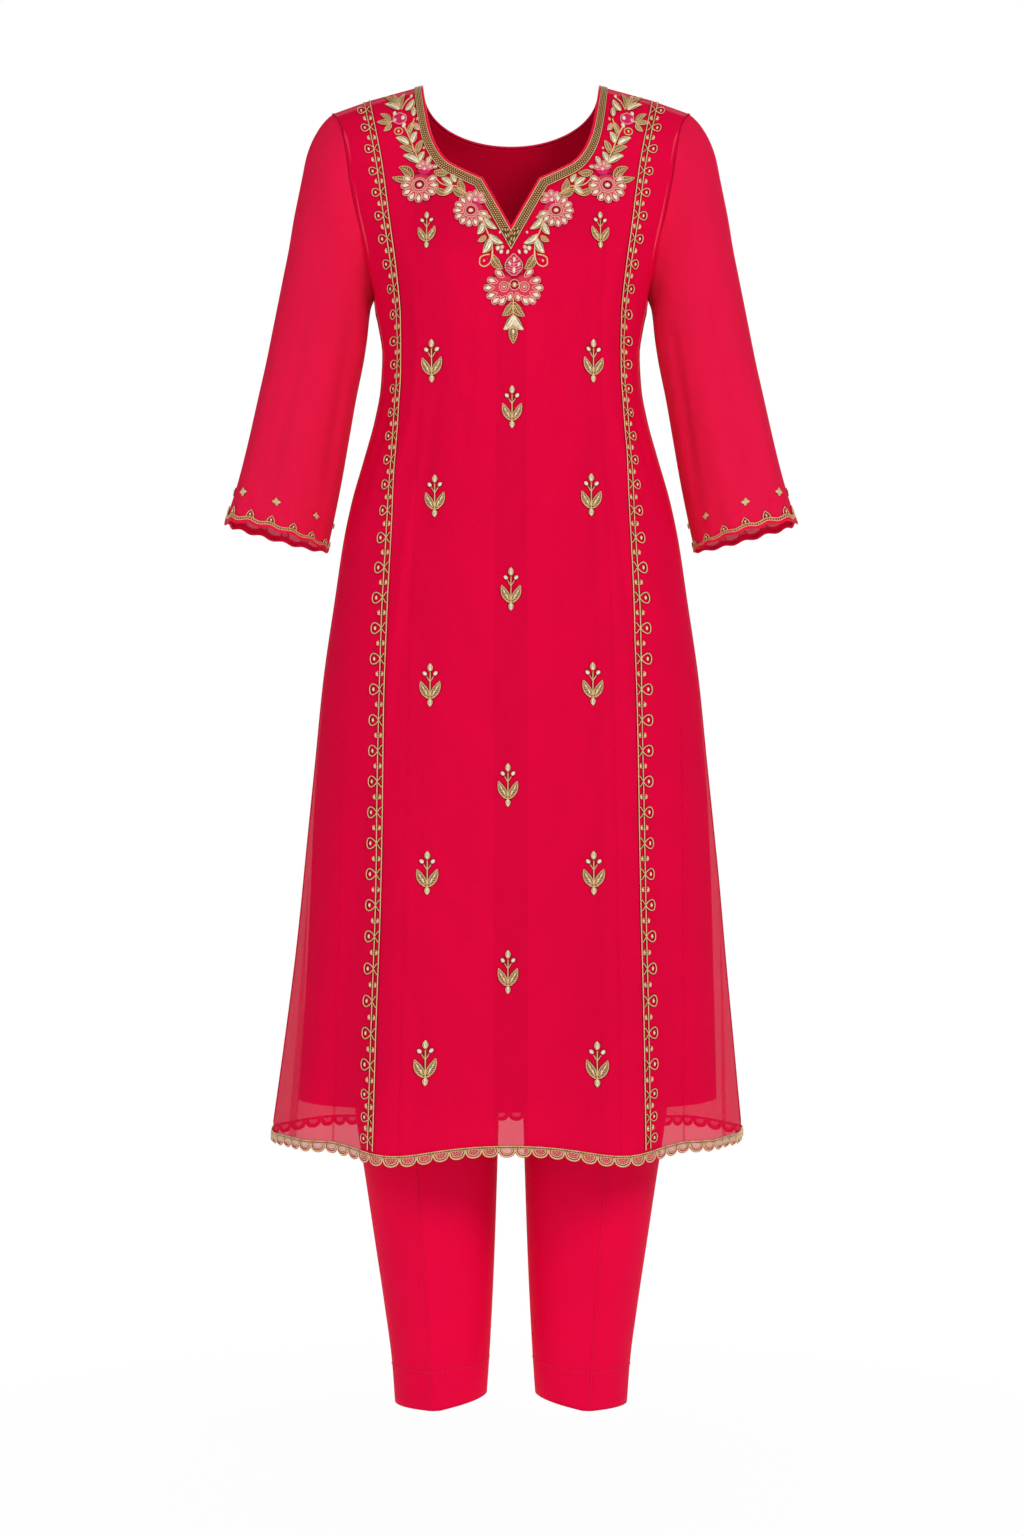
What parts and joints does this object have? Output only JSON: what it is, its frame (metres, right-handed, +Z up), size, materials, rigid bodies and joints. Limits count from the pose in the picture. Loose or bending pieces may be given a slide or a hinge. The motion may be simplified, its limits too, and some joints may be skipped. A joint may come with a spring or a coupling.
{
  "type": "salwar kameez suit",
  "caption": "Worn-form salwar kameez suit: sheer A-line tunic with lining, V-notched braided neck, long sleeves and scalloped hem lace, over straight creased trousers.",
  "frame": {"origin": "midway between the two high points of the shoulders at the sides of the neck, where the wearer's shoulders hold the suit up", "axes": "+Z up along the standing wearer, -Y out of the front, +X towards the right as seen from the front, which is the wearer's left; left and right in the names of nodes and openings are as seen from the front"},
  "size_m": [0.5746, 0.3044, 1.3131],
  "materials": {
    "kameez_georgette": "sheer matt crinkle georgette",
    "sleeve_georgette": "sheer matt georgette, unlined",
    "kameez_lining": "soft low-sheen plain weave",
    "trouser_crepe": "matt crepe",
    "gold_braid": "beaded antique-gold braid",
    "neck_piping": "satin piping",
    "cuff_edge": "stitched scalloped edge",
    "hem_lace": "scalloped metallic lace",
    "raised_embroidery": "raised bead and thread work"
  },
  "bodies": {
    "root": {"bloom_centre": "raised_embroidery", "bloom_left": "raised_embroidery", "bloom_right": "raised_embroidery", "bloom_side_left": "raised_embroidery", "bloom_side_right": "raised_embroidery", "cuff_left": "cuff_edge", "cuff_right": "cuff_edge", "hem_lace_back": "hem_lace", "hem_lace_front": "hem_lace", "kameez_back": "kameez_georgette", "kameez_front_centre": "kameez_georgette", "kameez_front_side_left": "kameez_georgette", "kameez_front_side_right": "kameez_georgette", "lining_back": "kameez_lining", "lining_front": "kameez_lining", "neck_band": "gold_braid", "neck_piping": "neck_piping", "princess_braid_left": "gold_braid", "princess_braid_right": "gold_braid", "sleeve_left": "sleeve_georgette", "sleeve_right": "sleeve_georgette", "trouser_back_left": "trouser_crepe", "trouser_back_right": "trouser_crepe", "trouser_front_left": "trouser_crepe", "trouser_front_right": "trouser_crepe", "trouser_waistband": "trouser_crepe"}
  },
  "joints": []
}
